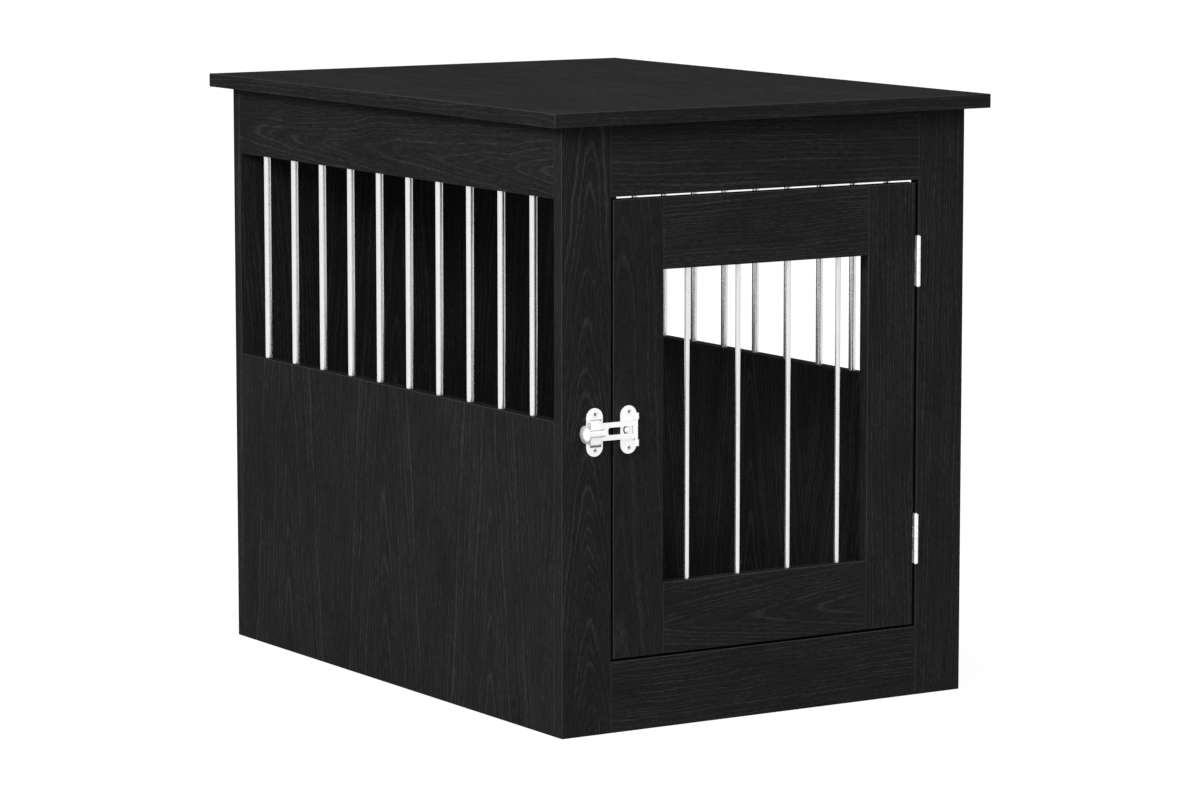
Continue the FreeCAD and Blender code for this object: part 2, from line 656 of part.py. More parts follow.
strap = block("arm_strap", ("%s - %s + head_round" % (axis_x, head_right), "strap_thickness", "strap_height"),
              ("%s - head_round" % head_right, "%s - strap_thickness" % arm_back,
               "latch_height - strap_height / 2"))
arm_knuckle = rod("arm_knuckle", "arm_barrel_diameter", "latch_barrel_gap - 2 * arm_play",
                  (axis_x, axis_y, "latch_height - latch_barrel_gap / 2 + arm_play"), "+Z")
head = eased_block("arm_head", ("head_width", "head_depth", "head_length"),
                   (head_left, "%s - head_depth" % arm_back, "latch_height - head_length / 2"),
                   "Fillet", "head_round")
barrel = rod("arm_barrel", "barrel_width", "%s - %s" % (head_right, barrel_left),
             (head_right, plunger_y, "latch_height"), "-X")
slot_left = "(%s - slot_end_set - slot_length)" % axis_x
slot_face = "%s - 3 * strap_thickness / 2" % arm_back
arm_ways = [
    block("arm_slot", ("slot_length - slot_round", "2 * strap_thickness", "slot_height"),
          ("%s + slot_round" % slot_left, slot_face, "latch_height - slot_height / 2")),
    block("arm_slot_end", ("2 * slot_round", "2 * strap_thickness", "slot_height - 2 * slot_round"),
          (slot_left, slot_face, "latch_height - slot_height / 2 + slot_round")),
    *(rod("arm_slot_corner_%d" % (i + 1), "2 * slot_round", "2 * strap_thickness",
          ("%s + slot_round" % slot_left, slot_face,
           "latch_height %s (slot_height / 2 - slot_round)" % side), "+Y")
      for i, side in enumerate("-+")),
    block("arm_hollow", ("head_width - 2 * head_wall", "head_depth", "head_length - 2 * head_wall"),
          ("%s + head_wall" % head_left, "%s - head_depth + head_wall" % arm_back,
           "latch_height - head_length / 2 + head_wall")),
    rod("spring_room", "barrel_bore", "%s - %s - barrel_end" % (bulkhead_left, barrel_left),
        (bulkhead_left, plunger_y, "latch_height"), "-X"),
    rod("post_room", "barrel_bore", "%s - head_wall - %s" % (head_right, bulkhead_right),
        (bulkhead_right, plunger_y, "latch_height"), "+X"),
    block("post_mouth",
          ("%s - head_wall - %s" % (head_right, bulkhead_right), "plunger_height", "barrel_bore"),
          (bulkhead_right, plunger_y, "latch_height - barrel_bore / 2")),
    rod("plunger_way", "plunger_diameter + 2 * plunger_clearance", "barrel_reach",
        (bulkhead_right, plunger_y, "latch_height"), "-X"),
    rod("arm_eye", *eye_span),
]
keep("latch_arm", cut("latch_arm", fuse("arm_blank", [strap, arm_knuckle, head, barrel]), arm_ways))

# The plunger runs through the barrel. Its spring pushes the collar towards the bulkhead.
knob_face = "(%s - knob_gap)" % barrel_left
nose = "(%s - post_thickness / 2 - nose_clearance)" % keeper_x
collar_end = "(%s - collar_gap)" % bulkhead_left
keep("latch_plunger", fuse("latch_plunger", [
    rod("plunger_stem", "plunger_diameter", "%s - %s + knob_seat" % (nose, knob_face),
        (nose, plunger_y, "latch_height"), "-X"),
    rod("plunger_collar", "collar_diameter", "collar_length", (collar_end, plunger_y, "latch_height"), "-X"),
]))
rim = eased_disc("knob_rim", "knob_diameter", "knob_length - knob_crown", "knob_round",
                 (knob_face, plunger_y, "latch_height"), "-X")
crown = dome("knob_crown", "knob_diameter - 2 * knob_round", "knob_crown",
             ("%s - knob_length + knob_crown" % knob_face, plunger_y, "latch_height"), "-X")
keep("latch_knob", cut("latch_knob", fuse("knob_blank", [rim, crown]), [
    rod("knob_socket", "plunger_diameter + 2 * seat_clearance", "knob_seat + seat_clearance",
        (knob_face, plunger_y, "latch_height"), "-X"),
]))

spring_start = "(%s + barrel_end + spring_gap + wire_diameter / 2)" % barrel_left
spring_end = "(%s - collar_length - spring_gap - wire_diameter / 2)" % collar_end
coil = doc.addObject("Part::Helix", "spring_coil")
bind(coil, "Height", "%s - %s" % (spring_end, spring_start))
bind(coil, "Pitch", "(%s - %s) / spring_turns" % (spring_end, spring_start))
bind(coil, "Radius", "(spring_diameter - wire_diameter) / 2")
wire = doc.addObject("Part::RegularPolygon", "spring_wire")
wire.Polygon = 6
wire.Placement = FreeCAD.Placement(FreeCAD.Vector(), turns["-Y"])
bind(wire, "Circumradius", "wire_diameter / 2")
bind(wire, "Placement.Base.x", "(spring_diameter - wire_diameter) / 2")
spring = doc.addObject("Part::Sweep", "latch_spring")
spring.Sections = [wire]
spring.Spine = (coil, ["Edge1"])
spring.Solid = True
spring.Frenet = True
keep("latch_spring", place(spring, (spring_start, plunger_y, "latch_height"), turns["+X"]))

# Hidden fittings, and the boards with their bores.
keep("cam_locks", group("all_cams", cams))
keep("cam_bolts", group("all_bolts", bolts))
keep("dowels", group("carcass_dowels", dowels["cabinet"]))
keep("door_dowels", group("leaf_dowels", dowels["door"]))
for node, blank in blanks.items():
    keep(node, cut(node, blank, bores[node]) if node in bores else blank)

doc.recompute()
os.makedirs("parts", exist_ok=True)
for node, item in nodes.items():
    if "Invalid" in item.State or "Error" in item.State or item.Shape.isNull() or not item.Shape.isValid():
        raise RuntimeError("%s did not build: %s" % (node, item.State))
    item.Shape.exportStep("parts/%s.step" % node)
print("%d pieces written" % len(nodes))
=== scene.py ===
import math

import bpy
import numpy as np
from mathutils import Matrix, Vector


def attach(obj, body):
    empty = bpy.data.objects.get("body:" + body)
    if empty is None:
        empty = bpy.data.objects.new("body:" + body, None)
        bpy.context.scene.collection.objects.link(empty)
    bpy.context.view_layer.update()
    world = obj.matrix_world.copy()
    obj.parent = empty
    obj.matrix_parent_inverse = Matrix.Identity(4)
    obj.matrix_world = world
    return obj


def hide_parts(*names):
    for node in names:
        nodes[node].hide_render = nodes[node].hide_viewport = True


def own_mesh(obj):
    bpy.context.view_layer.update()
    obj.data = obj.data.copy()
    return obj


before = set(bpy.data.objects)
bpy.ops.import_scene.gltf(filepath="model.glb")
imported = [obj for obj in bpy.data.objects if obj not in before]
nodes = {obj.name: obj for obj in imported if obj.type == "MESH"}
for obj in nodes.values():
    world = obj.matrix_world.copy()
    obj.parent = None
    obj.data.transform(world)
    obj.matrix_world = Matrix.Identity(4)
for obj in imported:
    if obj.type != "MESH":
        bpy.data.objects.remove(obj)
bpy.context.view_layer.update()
bpy.context.scene.view_settings.view_transform = "Standard"
print("frame loaded:", len(nodes), "pieces")


def addObject(name, data):
    added = bpy.data.objects.new(name, data)
    bpy.context.scene.collection.objects.link(added)
    return added


def cover(node, material):
    nodes[node].data.materials.clear()
    nodes[node].data.materials.append(material)


# A socket that can be used in sums. Each sum adds its Math node.
class Sock:
    def __init__(self, tree, out):
        self.tree = tree
        self.out = out

    def maths(self, operation, *values):
        node = self.tree.nodes.new("ShaderNodeMath")
        node.operation = operation
        for socket, value in zip(node.inputs, values):
            join(self.tree, socket, value)
        return Sock(self.tree, node.outputs[0])

    def __add__(self, other):
        return self.maths("ADD", self, other)

    def __radd__(self, other):
        return self.maths("ADD", other, self)

    def __sub__(self, other):
        return self.maths("SUBTRACT", self, other)

    def __rsub__(self, other):
        return self.maths("SUBTRACT", other, self)

    def __mul__(self, other):
        return self.maths("MULTIPLY", self, other)

    def __rmul__(self, other):
        return self.maths("MULTIPLY", other, self)

    def __truediv__(self, other):
        return self.maths("DIVIDE", self, other)

    def __pow__(self, other):
        return self.maths("POWER", self, other)

    def __abs__(self):
        return self.maths("ABSOLUTE", self)

    def clamp(self):
        return self.maths("MINIMUM", self.maths("MAXIMUM", self, 0.0), 1.0)

    def larger(self, other):
        return self.maths("MAXIMUM", self, other)

    def fraction(self):
        return self.maths("FRACT", self)

    def foldedAt(self, reach):
        return self.maths("PINGPONG", self, reach)


# A node's input by its name, or by its place where names repeat: "n1" is the second.
def inlet(node, key):
    byPlace = key[0] == "n" and key[1:].isdigit()
    return node.inputs[int(key[1:])] if byPlace else node.inputs[key]


def join(tree, socket, value):
    if isinstance(value, Sock):
        tree.links.new(value.out, socket)
    else:
        socket.default_value = value


# A material, and the one method that adds any other node to it.
class Finish:
    def __init__(self, name):
        self.material = bpy.data.materials.new(name)
        self.material.use_nodes = True
        self.tree = self.material.node_tree
        self.shader = self.tree.nodes["Principled BSDF"]

    def node(self, kind, settings=None, out=0, **values):
        node = self.tree.nodes.new("ShaderNode" + kind)
        for field, value in (settings or {}).items():
            if field == "stops":
                ramp = node.color_ramp
                for i, (place, shade) in enumerate(value):
                    stop = ramp.elements[i] if i < 2 else ramp.elements.new(place)
                    stop.position = place
                    stop.color = (shade, shade, shade, 1)
            else:
                setattr(node, field, value)
        for key, value in values.items():
            join(self.tree, inlet(node, key), value)
        return Sock(self.tree, node.outputs[out])

    def point(self, x, y, z):
        return self.node("CombineXYZ", X=x, Y=y, Z=z)

    def noise(self, place, scale, detail=2.0, roughness=0.5):
        return self.node("TexNoise", Vector=place, Scale=scale, Detail=detail, Roughness=roughness)

    def ramp(self, value, *stops):
        return self.node("ValToRGB", {"stops": stops}, Fac=value)

    def blend(self, share, first, second):
        return self.node("Mix", {"data_type": "RGBA"}, out=2, n0=share, n6=first, n7=second)

    def bump(self, height, depth, strength=1.0):
        return self.node("Bump", Height=height, Distance=depth, Strength=strength)

    def dress(self, **sockets):
        for name, value in sockets.items():
            join(self.tree, self.shader.inputs[name.replace("_", " ")], value)
        return self.material


def grey(level):
    return (level, level, level, 1)


# Board facing: black melamine, embossed with oak grain. Lengths are in m.
oak = {
    "dark": grey(0.0088),
    "light": grey(0.0340),
    # painted highlight: the eased arris is coloured lighter, standing for the light its rounding catches
    "arris": grey(0.036),
    "fold": 0.11,               # half the width of one sliced leaf on a wide board
    "swayAcross": 0.022,        # how far the slow wander moves the rings
    "swayAlong": 0.22,
    "rippleAcross": 0.0075,     # how far the ripples move them
    "rippleAlong": 0.03,
    "kinkAcross": 0.0026,       # how far the kinks move them, and the pores
    "kinkPores": 0.003,
    "crowdScale": 75.0,         # how often the rings crowd and spread, per m
    "crowdTurns": 3.6,          # and by how many rings
    "lateTurns": 2.0,           # faint late rings for each ring
    "lateStart": 0.35,
    "lateShare": 0.42,
    "poreWidth": 0.0012,
    "poreLength": 0.008,
    "poreSeed": 7.7,
    "poreDetail": 2.0,
    "poreKinks": 0.6,
    "poreFloor": 0.40,          # how much of a ring shows between its pores
    "base": 0.13,               # the shade of plain facing, and what each layer adds to it
    "ringShade": 0.95,
    "streakMiddle": 0.42,
    "streakShade": 0.35,
    "streakCloud": 0.9,
    "poreShade": 0.12,
    "poreMiddle": 0.4,
    "cloudShade": 0.22,
    "embossRings": 0.7,
    "embossStreaks": 0.4,
    "embossDepth": 0.00010,
    "roughness": 0.55,
    "ringGloss": 0.10,
    "coat": 0.03,
    "ringCoat": 0.02,
    "coatRoughness": 0.42,
    # waves per m across and along the board, what is added to its seed, detail and roughness
    "noises": {
        "wander": (7.0, 2.6, 0.0, 2.0, 0.5),
        "ripple": (34.0, 13.0, 9.2, 2.0, 0.5),
        "kinks": (170.0, 60.0, 3.1, 3.0, 0.65),
        "patches": (38.0, 12.0, 2.3, 2.0, 0.5),
        "streaks": (560.0, 44.0, 1.3, 3.0, 0.72),
        "cloud": (12.0, 4.0, 5.9, 2.0, 0.5),
    },
    # each stop of a ramp: where it stands, and what the ramp gives there
    "ramps": {
        "early": ((0.0, 0.0), (0.36, 0.10), (0.50, 1.0), (0.60, 0.22), (1.0, 0.0)),
        "late": ((0.30, 0.0), (0.50, 1.0), (0.70, 0.0)),
        "pores": ((0.44, 0.0), (0.58, 1.0)),
        "patches": ((0.34, 0.30), (0.60, 1.0)),
    },
}


# Reads "grain": across and along the board from its arch, in m, and 1 on an eased arris.
# Reads "figure": how deep the heart lies under the face (m), how fast its rings close along it, and
# their spacing (m). Reads "leaf": a seed, and how strongly the rings show.
def blackOakFacing():
    f = Finish("black oak facing")
    grain = f.node("Attribute", {"attribute_name": "grain"}, out=1)
    figure = f.node("Attribute", {"attribute_name": "figure"}, out=1)
    leaf = f.node("Attribute", {"attribute_name": "leaf"}, out=1)
    u, v, arris = (f.node("SeparateXYZ", out=i, n0=grain) for i in range(3))
    depth, taper, gap = (f.node("SeparateXYZ", out=i, n0=figure) for i in range(3))
    seed, strength = (f.node("SeparateXYZ", out=i, n0=leaf) for i in range(2))

    def spread(name):
        across, along, shift, detail, roughness = oak["noises"][name]
        return f.noise(f.point(u * across, v * along, seed + shift), 1.0, detail, roughness)

    def shaped(value, name):
        return f.ramp(value, *oak["ramps"][name])

    # slow wander of the whole figure, then ripples and small kinks in it
    wander, ripple, kinks = (spread(name) - 0.5 for name in ("wander", "ripple", "kinks"))
    folded = (u + wander * oak["swayAcross"]).foldedAt(oak["fold"])
    across = folded + ripple * oak["rippleAcross"] + kinks * oak["kinkAcross"]
    along = v + wander * oak["swayAlong"] + ripple * oak["rippleAlong"]
    reach = (across * across + depth * depth) ** 0.5 + along * taper
    crowding = f.noise(f.point(reach * oak["crowdScale"], seed, 0.0), 1.0, 2.0)
    turns = reach / gap + crowding * oak["crowdTurns"]
    early = shaped(turns.fraction(), "early")
    late = shaped((turns * oak["lateTurns"] + oak["lateStart"]).fraction(), "late")
    # pores are short dashes along the grain, and crowd into the rings
    dashAcross = (u + kinks * oak["kinkPores"]) / oak["poreWidth"]
    dashAlong = v / oak["poreLength"]
    dashPlace = f.point(dashAcross, dashAlong, seed + oak["poreSeed"])
    pores = shaped(f.noise(dashPlace, 1.0, oak["poreDetail"], oak["poreKinks"]), "pores")
    patches = shaped(spread("patches"), "patches")
    dashed = oak["poreFloor"] + (1 - oak["poreFloor"]) * pores
    ring = strength * (early + oak["lateShare"] * late) * patches * dashed
    streaks = spread("streaks")
    cloud = spread("cloud")
    fibre = (streaks - oak["streakMiddle"]) * (oak["streakShade"] + oak["streakCloud"] * cloud)
    shade = oak["base"] + oak["ringShade"] * ring + fibre
    shade = shade + oak["poreShade"] * (pores - oak["poreMiddle"]) + oak["cloudShade"] * (cloud - 0.5)
    face = f.blend(shade.clamp(), oak["dark"], oak["light"])
    height = ring * oak["embossRings"] + streaks * oak["embossStreaks"]
    # the eased arris takes the lighter arris colour, a painted highlight of its rounding
    return f.dress(
        Base_Color=f.blend(arris, face, oak["arris"]),
        Roughness=oak["roughness"] - oak["ringGloss"] * ring,
        Specular_IOR_Level=0.0,
        Coat_Weight=oak["coat"] + oak["ringCoat"] * ring,
        Coat_Roughness=oak["coatRoughness"],
        Normal=f.bump(height, oak["embossDepth"]),
    )


# Each board's long grain, where its arch stands across it and along it (m from its middle), how deep
# the heart lies (m), how fast the rings close along it, their spacing (m), their strength, and its seed.
boards = {
    "top_panel": ("Y", 0.06, 0.0, 0.010, 0.05, 0.006, 0.8, 1.0),
    "back_panel": ("Z", -0.05, 0.0, 0.012, 0.06, 0.006, 1.0, 2.0),
    "bottom_panel": ("Y", 0.10, 0.0, 0.012, 0.06, 0.006, 1.0, 3.0),
    "left_lower_panel": ("Z", 0.012, 0.0, 0.014, 0.085, 0.0062, 0.9, 4.0),
    "right_lower_panel": ("Z", 0.03, 0.0, 0.010, 0.130, 0.0085, 3.0, 5.0),
    "left_upper_rail": ("Y", -0.010, -0.06, 0.010, 0.060, 0.0056, 0.9, 6.0),
    "right_upper_rail": ("Y", 0.006, 0.0, 0.010, -0.05, 0.006, 1.0, 7.0),
    "front_left_stile": ("Z", 0.003, 0.0, 0.015, 0.110, 0.0042, 1.1, 8.0),
    "front_right_stile": ("Z", 0.075, 0.0, 0.020, 0.012, 0.0044, 1.0, 9.0),
    "front_top_rail": ("X", 0.050, 0.0, 0.020, -0.030, 0.0050, 1.0, 10.0),
    "front_bottom_rail": ("X", 0.055, 0.0, 0.020, 0.030, 0.0048, 1.1, 11.0),
    "door_left_stile": ("Z", -0.020, 0.0, 0.024, 0.060, 0.0100, 0.65, 12.0),
    "door_right_stile": ("Z", 0.080, 0.0, 0.020, -0.012, 0.0042, 1.2, 13.0),
    "door_top_rail": ("X", 0.060, 0.0, 0.020, 0.035, 0.0038, 1.2, 14.0),
    "door_bottom_rail": ("X", -0.008, 0.0, 0.009, -0.100, 0.0075, 1.2, 15.0),
}
# Edge banding has nearly straight grain: where its arch stands across a long edge and an end, how deep
# its heart lies (all in m) and how fast its rings close.
banding = {"acrossEdge": -0.055, "acrossEnd": -0.040, "depth": 0.03, "taper": 0.01}
# Each side of a board shows another leaf. These add to the seed: for each axis, and on the positive side.
sideSeed = {"axis": 0.37, "positive": 0.11}


# An eased arris leans about evenly between two faces of the board.
def isArris(normal):
    least, middle, most = np.sort(np.abs(normal))
    return most < 0.9 and middle > 0.4 and least < 0.1


def layGrain(board, axis, archAcross, archAlong, depth, taper, gap, strength, seed):
    mesh = board.data
    corners = np.zeros(len(mesh.vertices) * 3)
    mesh.vertices.foreach_get("co", corners)
    corners = corners.reshape(-1, 3)
    low, high = corners.min(0), corners.max(0)
    middle, span = (low + high) / 2, high - low
    along = "XYZ".index(axis)
    thin = int(np.argmin(span))
    wide = 3 - along - thin
    laid, drawn, leaf = (np.zeros((len(mesh.loops), 3)) for each in range(3))
    for face in mesh.polygons:
        facing = int(np.argmax(np.abs(face.normal)))
        arris = 1.0 if isArris(face.normal) else 0.0
        side = sideSeed["axis"] * facing + (sideSeed["positive"] if face.normal[facing] > 0 else 0.0)
        for loop in face.loop_indices:
            place = corners[mesh.loops[loop].vertex_index] - middle
            if facing == thin:      # the wide faces carry the figure
                laid[loop] = place[wide] - archAcross, place[along] - archAlong, arris
                drawn[loop] = depth, taper, gap
            elif facing == wide:
                laid[loop] = place[thin] - banding["acrossEdge"], place[along], arris
                drawn[loop] = banding["depth"], banding["taper"], gap
            else:
                laid[loop] = place[thin] - banding["acrossEnd"], place[wide], arris
                drawn[loop] = banding["depth"], banding["taper"], gap
            leaf[loop] = seed + side, strength, 0
    for name, values in (("grain", laid), ("figure", drawn), ("leaf", leaf)):
        mesh.attributes.new(name, "FLOAT_VECTOR", "CORNER").data.foreach_set("vector", values.ravel())


oakFacing = blackOakFacing()
for name, figure in boards.items():
    layGrain(nodes[name], *figure)
    cover(name, oakFacing)
print("boards faced:", len(boards))


# Bright metal. The plating is even, so what varies is a faint haze and the wipe marks in it.
metals = {
    "barSteel": {"colour": grey(0.76), "metallic": 0.84, "roughness": 0.22, "haze": 0.05},
    "latchChrome": {"colour": grey(0.96), "metallic": 0.60, "roughness": 0.16, "haze": 0.04},
    "knobChrome": {"colour": grey(0.97), "metallic": 0.50, "roughness": 0.22, "haze": 0.05},
    "hingeSteel": {"colour": grey(0.93), "metallic": 0.84, "roughness": 0.26, "haze": 0.05},
    "screwSteel": {"colour": grey(0.84), "metallic": 0.90, "roughness": 0.24, "haze": 0.05},
    # painted shade: the screws' cross recesses get this dark colour, standing for the shade inside them
    "recessShadeSteel": {"colour": grey(0.07), "metallic": 0.70, "roughness": 0.50, "haze": 0.05},
    "zinc": {"colour": grey(0.55), "metallic": 1.0, "roughness": 0.40, "haze": 0.08},
}
# Painted shadow: dark lines painted on the latch's two plates, round the arm's head and beside the stud,
# where those parts shade the plate. "at" is the middle (x and z), with half the box's sides or the circle's
# radius, and the line's half width, in m.
headShadowLine = {"at": (-0.2145, 0.3167), "half": (0.0058, 0.0134), "width": 0.0014}
studShadowLine = {"at": (-0.1761, 0.3180), "radius": 0.0042, "width": 0.0010}
metals["keeperChrome"] = {**metals["latchChrome"], "line": headShadowLine}
metals["hingePlateChrome"] = {**metals["latchChrome"], "line": studShadowLine}
plating = {
    "wipes": (160.0, 160.0, 20.0),      # waves per m
    "smears": 45.0,
    "smearStops": ((0.40, 0.0), (0.75, 1.0)),
    "smearDulls": 0.93,
    "shadowLineGrey": grey(0.05),
    "shadowLineStops": ((0.0, 1.0), (0.5, 0.85), (1.0, 0.0)),
    "shadowLineFade": 0.5,                    # thins the round line on its right
}


# How far a spot is from a painted shadow line.
def offShadowLine(f, place, line):
    x, z = (f.node("SeparateXYZ", out=i, n0=place) for i in (0, 2))
    across, up = x - line["at"][0], z - line["at"][1]
    if "radius" in line:
        off = abs((across * across + up * up) ** 0.5 - line["radius"])
        return off + (across * plating["shadowLineFade"]).clamp()
    return abs((abs(across) - line["half"][0]).larger(abs(up) - line["half"][1]))


def brightMetal(name, colour, metallic, roughness, haze, line=None):
    f = Finish(name)
    place = f.node("TexCoord", out=3)
    wipes = f.noise(f.node("Mapping", Vector=place, Scale=plating["wipes"]), 1.0, 3.0)
    smears = f.ramp(f.noise(place, plating["smears"], 3.0), *plating["smearStops"])
    dull = tuple(plating["smearDulls"] * level for level in colour[:3]) + (1,)
    coat = f.blend(smears, colour, dull)
    # painted shadow: a dark line round the arm's head or beside the stud, where those parts shade the plate
    if line:
        drawn = f.ramp(offShadowLine(f, place, line) / line["width"], *plating["shadowLineStops"])
        coat = f.blend(drawn, coat, plating["shadowLineGrey"])
    return f.dress(
        Base_Color=coat,
        Metallic=metallic,
        Roughness=roughness + haze * wipes + haze * smears,
    )


finishes = {name: brightMetal(name, **values) for name, values in metals.items()}

beech = {
    "light": (0.62, 0.40, 0.22, 1),
    "dark": (0.45, 0.27, 0.13, 1),
    "lines": (60.0, 900.0, 900.0),      # waves per m
    "roughness": 0.6,
    "lineRoughness": 0.1,
    "lineDepth": 0.0001,
}


def beechDowel():
    f = Finish("beech dowel")
    place = f.node("TexCoord", out=3)
    lines = f.noise(f.node("Mapping", Vector=place, Scale=beech["lines"]), 1.0, 3.0)
    return f.dress(
        Base_Color=f.blend(lines, beech["light"], beech["dark"]),
        Roughness=beech["roughness"] + beech["lineRoughness"] * lines,
        Normal=f.bump(lines, beech["lineDepth"], 0.5),
    )


finishes["beech"] = beechDowel()
wears = {
    "barSteel": [name for name in nodes if "_bar_" in name],
    "latchChrome": ["latch_arm"],
    "keeperChrome": ["keeper_plate"],
    "hingePlateChrome": ["latch_plate"],
    "knobChrome": ["latch_knob"],
    "hingeSteel": [name for name in nodes if "_hinge_" in name] + [
        "latch_pin", "latch_plunger", "latch_spring"],
    "screwSteel": ["hinge_frame_screws", "hinge_door_screws", "keeper_screws", "latch_plate_screws"],
    "zinc": ["cam_locks", "cam_bolts"],
    "beech": ["dowels", "door_dowels"],
}
for kind, names in wears.items():
    for name in names:
        cover(name, finishes[kind])
print("metal and dowels finished")


# The knob's spring stands against the barrel's outer end, and gets a mesh of its own.
pull = {"joint": "knob_pull", "travel": 0.0025}


def shortenSpring(spring, joint, travel):
    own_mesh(spring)


shortenSpring(nodes["latch_spring"], **pull)


# A Geometry Nodes tree with named inputs, and the one method that adds any other node to it.
class Tree:
    def __init__(self, name, inputs):
        self.group = bpy.data.node_groups.new(name, "GeometryNodeTree")
        self.group.interface.new_socket("Geometry", in_out="OUTPUT", socket_type="NodeSocketGeometry")
        self.keys = {}
        for label, kind in inputs.items():
            socket = self.group.interface.new_socket(label, in_out="INPUT", socket_type="NodeSocket" + kind)
            self.keys[label] = socket.identifier
        self.start = self.group.nodes.new("NodeGroupInput")

    def given(self, label):
        return self.start.outputs[label]

    def node(self, kind, settings=None, out=0, **values):
        node = self.group.nodes.new(kind)
        for field, value in (settings or {}).items():
            setattr(node, field, value)
        for key, value in values.items():
            for each in value if isinstance(value, list) else [value]:
                if isinstance(each, bpy.types.NodeSocket):
                    self.group.links.new(each, inlet(node, key))
                else:
                    inlet(node, key).default_value = each
        return node.outputs[out]

    def maths(self, operation, first, second):
        return self.node("ShaderNodeMath", {"operation": operation}, n0=first, n1=second)

    def shifted(self, shape, z):
        offset = self.node("ShaderNodeCombineXYZ", Z=z)
        return self.node("GeometryNodeTransform", Geometry=shape, Translation=offset)


screwSizes = ("Head Radius", "Crown", "Head Depth", "Foot Radius", "Shank Radius", "Length",
              "Cross Length", "Cross Width", "Cross Depth")
screwInputs = {"Geometry": "Geometry", **dict.fromkeys(screwSizes, "Float"),
               "Material": "Material", "Recess Shade Material": "Material"}
screwMesh = {
    "headSegments": 48,
    "crownRings": 24,
    "shankSegments": 24,
    "sharpFrom": 0.6,       # edges that turn more than this many radians stay sharp
    "mostSpin": 1.5,        # each cross stands at its own angle, in radians
    "spinSeed": 7,
    "leastApart": 0.004,    # the height between two screws of one node is more than this, in m
}


# Makes cross-head screws. A point with an aim stands for each.
def screwTree():
    t = Tree("cross-head screws", screwInputs)
    radius, crownHeight, headDepth = (t.given(label) for label in ("Head Radius", "Crown", "Head Depth"))
    head = t.node("GeometryNodeMeshCone", {"fill_type": "NGON"},
                  Vertices=screwMesh["headSegments"], n1=1, n2=1,
                  **{"Radius Top": radius, "Radius Bottom": t.given("Foot Radius"), "Depth": headDepth})
    head = t.shifted(head, t.maths("MULTIPLY", headDepth, -1.0))
    ball = t.node("GeometryNodeMeshUVSphere", Segments=screwMesh["headSegments"],
                  Rings=screwMesh["crownRings"], Radius=1.0)
    flat = t.node("ShaderNodeCombineXYZ", X=radius, Y=radius, Z=crownHeight)
    crown = t.node("GeometryNodeTransform", Geometry=ball, Scale=flat)
    shank = t.node("GeometryNodeMeshCylinder", Vertices=screwMesh["shankSegments"],
                   Radius=t.given("Shank Radius"), Depth=t.given("Length"))
    shank = t.shifted(shank, t.maths("MULTIPLY", t.given("Length"), -0.5))
    arms = []
    for across in (("Cross Length", "Cross Width"), ("Cross Width", "Cross Length")):
        span = t.node("ShaderNodeCombineXYZ", X=t.given(across[0]), Y=t.given(across[1]),
                      Z=t.maths("MULTIPLY", t.given("Cross Depth"), 2.0))
        arm = t.shifted(t.node("GeometryNodeMeshCube", Size=span), crownHeight)
        arms.append(t.node("GeometryNodeStoreNamedAttribute", {"data_type": "BOOLEAN", "domain": "FACE"},
                           Geometry=arm, Name="recess", Value=True))
    solid = t.node("GeometryNodeMeshBoolean", {"operation": "UNION"}, n1=[head, crown, shank])
    cut = t.node("GeometryNodeMeshBoolean", {"operation": "DIFFERENCE"}, n0=solid, n1=arms)
    bend = t.node("GeometryNodeInputMeshEdgeAngle")
    sharp = t.node("FunctionNodeCompare", {"operation": "GREATER_THAN"}, n0=bend, n1=screwMesh["sharpFrom"])
    cut = t.node("GeometryNodeSetShadeSmooth", {"domain": "FACE"}, n0=cut)
    cut = t.node("GeometryNodeSetShadeSmooth", {"domain": "EDGE"}, n0=cut, n1=sharp, n2=False)
    aim = t.node("GeometryNodeInputNamedAttribute", {"data_type": "FLOAT_VECTOR"}, Name="aim")
    turn = t.node("FunctionNodeAlignRotationToVector", {"axis": "Z"}, Vector=aim)
    spin = t.node("FunctionNodeRandomValue", {"data_type": "FLOAT"}, out=1,
                  n2=0.0, n3=screwMesh["mostSpin"], Seed=screwMesh["spinSeed"])
    ownTurn = t.node("FunctionNodeEulerToRotation", n0=t.node("ShaderNodeCombineXYZ", Z=spin))
    spun = t.node("FunctionNodeRotateRotation", {"rotation_space": "LOCAL"}, Rotation=turn, n1=ownTurn)
    placed = t.node("GeometryNodeInstanceOnPoints", Points=t.given("Geometry"), Instance=cut, Rotation=spun)
    real = t.node("GeometryNodeRealizeInstances", Geometry=placed)
    plated = t.node("GeometryNodeSetMaterial", Geometry=real, Material=t.given("Material"))
    # painted shade: the cross recesses take the dark recess material
    inside = t.node("GeometryNodeInputNamedAttribute", {"data_type": "BOOLEAN"}, Name="recess")
    done = t.node("GeometryNodeSetMaterial", Geometry=plated, Selection=inside,
                  Material=t.given("Recess Shade Material"))
    end = t.group.nodes.new("NodeGroupOutput")
    t.group.links.new(done, end.inputs[0])
    return t


screws = screwTree()
panHead = {"Head Radius": 0.0035, "Crown": 0.0008, "Head Depth": 0.0004, "Foot Radius": 0.0034,
           "Shank Radius": 0.0015, "Length": 0.0120, "Cross Length": 0.0044, "Cross Width": 0.0011,
           "Cross Depth": 0.0009}
sunkHead = {"Head Radius": 0.0025, "Crown": 0.0003, "Head Depth": 0.0007, "Foot Radius": 0.0017,
            "Shank Radius": 0.0014, "Length": 0.0117, "Cross Length": 0.0030, "Cross Width": 0.0007,
            "Cross Depth": 0.0007}


